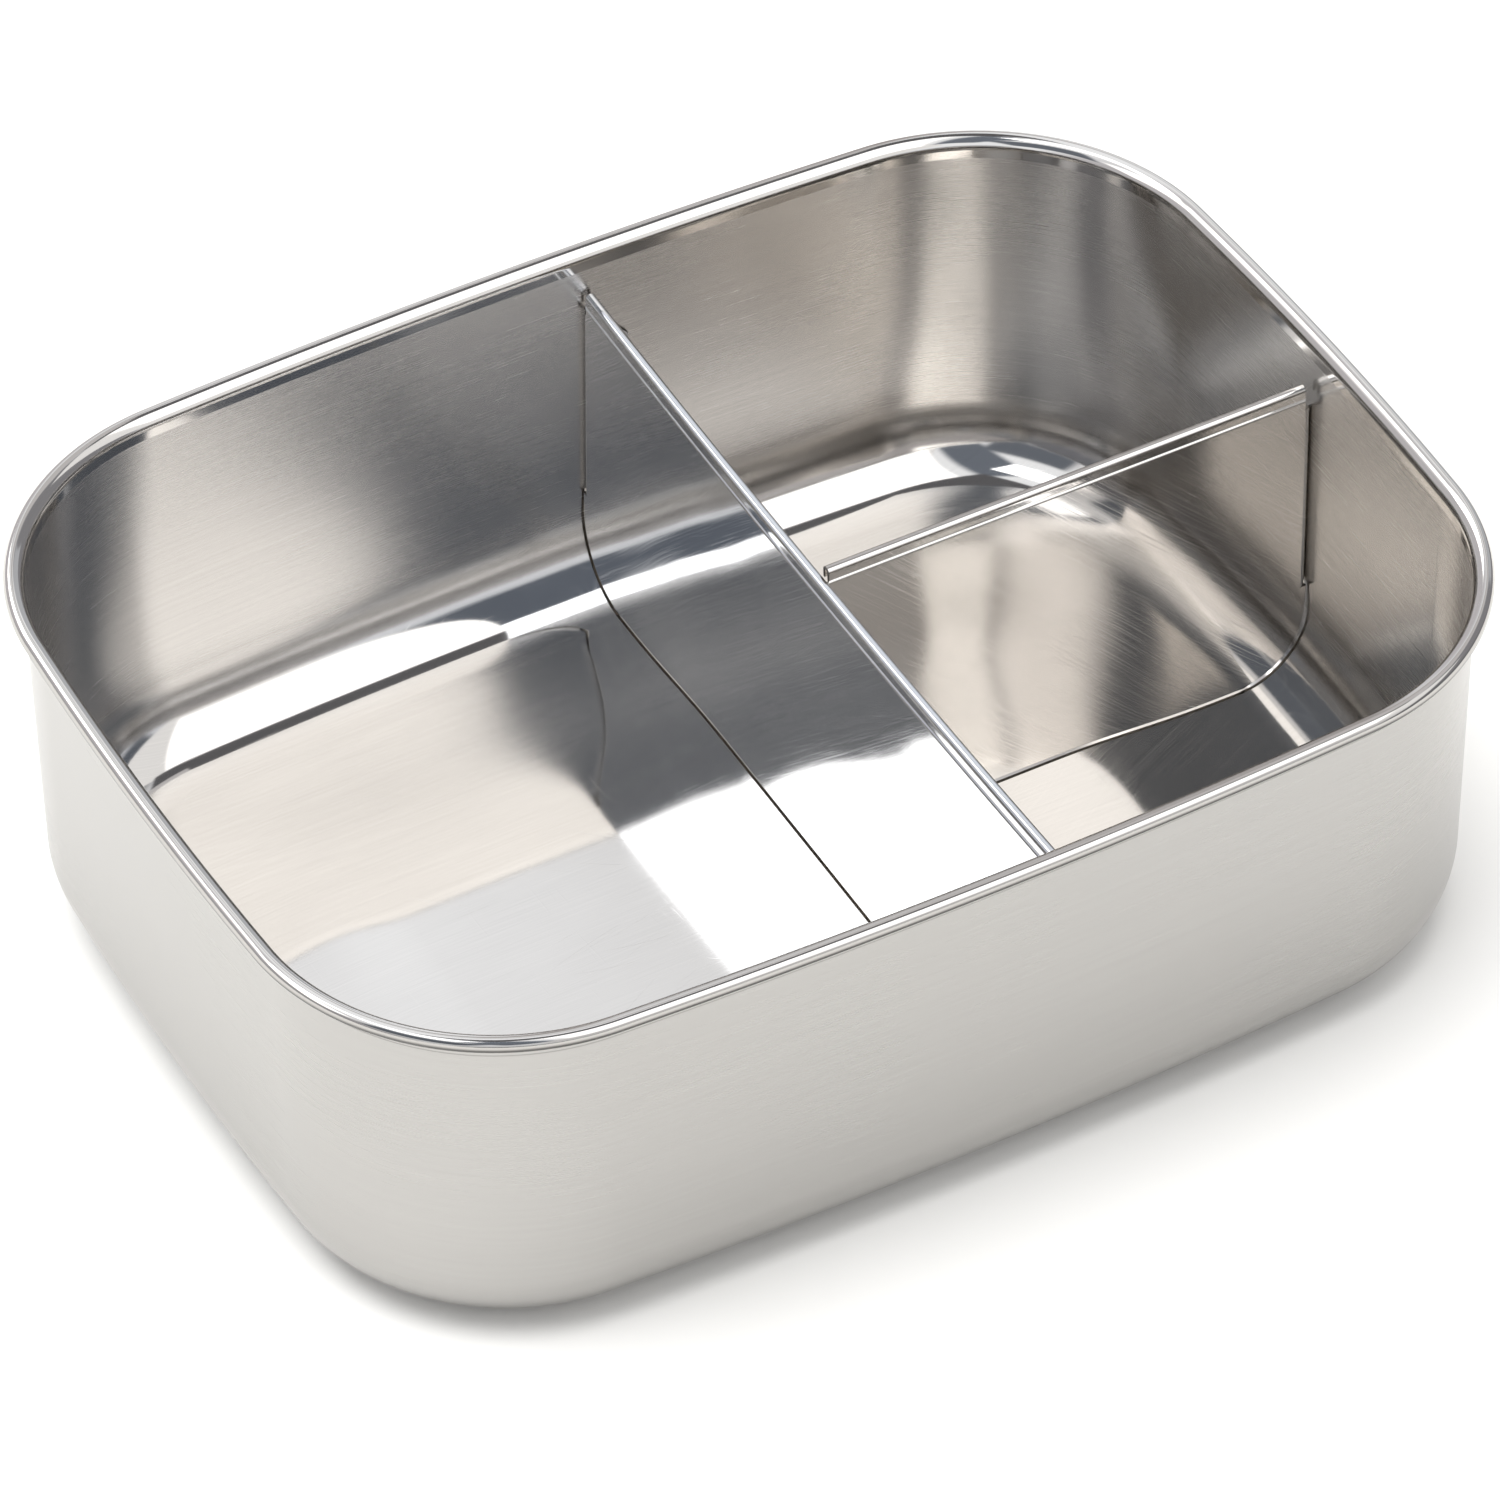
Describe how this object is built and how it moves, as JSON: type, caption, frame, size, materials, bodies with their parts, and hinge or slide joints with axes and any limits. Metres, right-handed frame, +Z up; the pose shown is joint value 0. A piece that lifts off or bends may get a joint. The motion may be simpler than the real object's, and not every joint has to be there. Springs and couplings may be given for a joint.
{
  "type": "lunch box",
  "caption": "Open rectangular stainless steel lunch box base with rounded corners, curled rim and fixed sheet dividers that make one large and two small food compartments.",
  "frame": {"origin": "centre of the underside, on the surface that the box stands on", "axes": "+Z up, X along the long side, Y along the short side; the two small compartments are on the +X side"},
  "size_m": [0.2, 0.1526, 0.064],
  "materials": {
    "tray_steel": "drawn stainless sheet: satin outside, lightly brushed walls inside, near mirror floor and floor radius",
    "divider_steel": "bright polished stainless sheet with fine lengthwise hairlines, rolled top edge"
  },
  "bodies": {
    "root": {"tray": "tray_steel", "long_divider": "divider_steel", "short_divider": "divider_steel"}
  },
  "joints": []
}
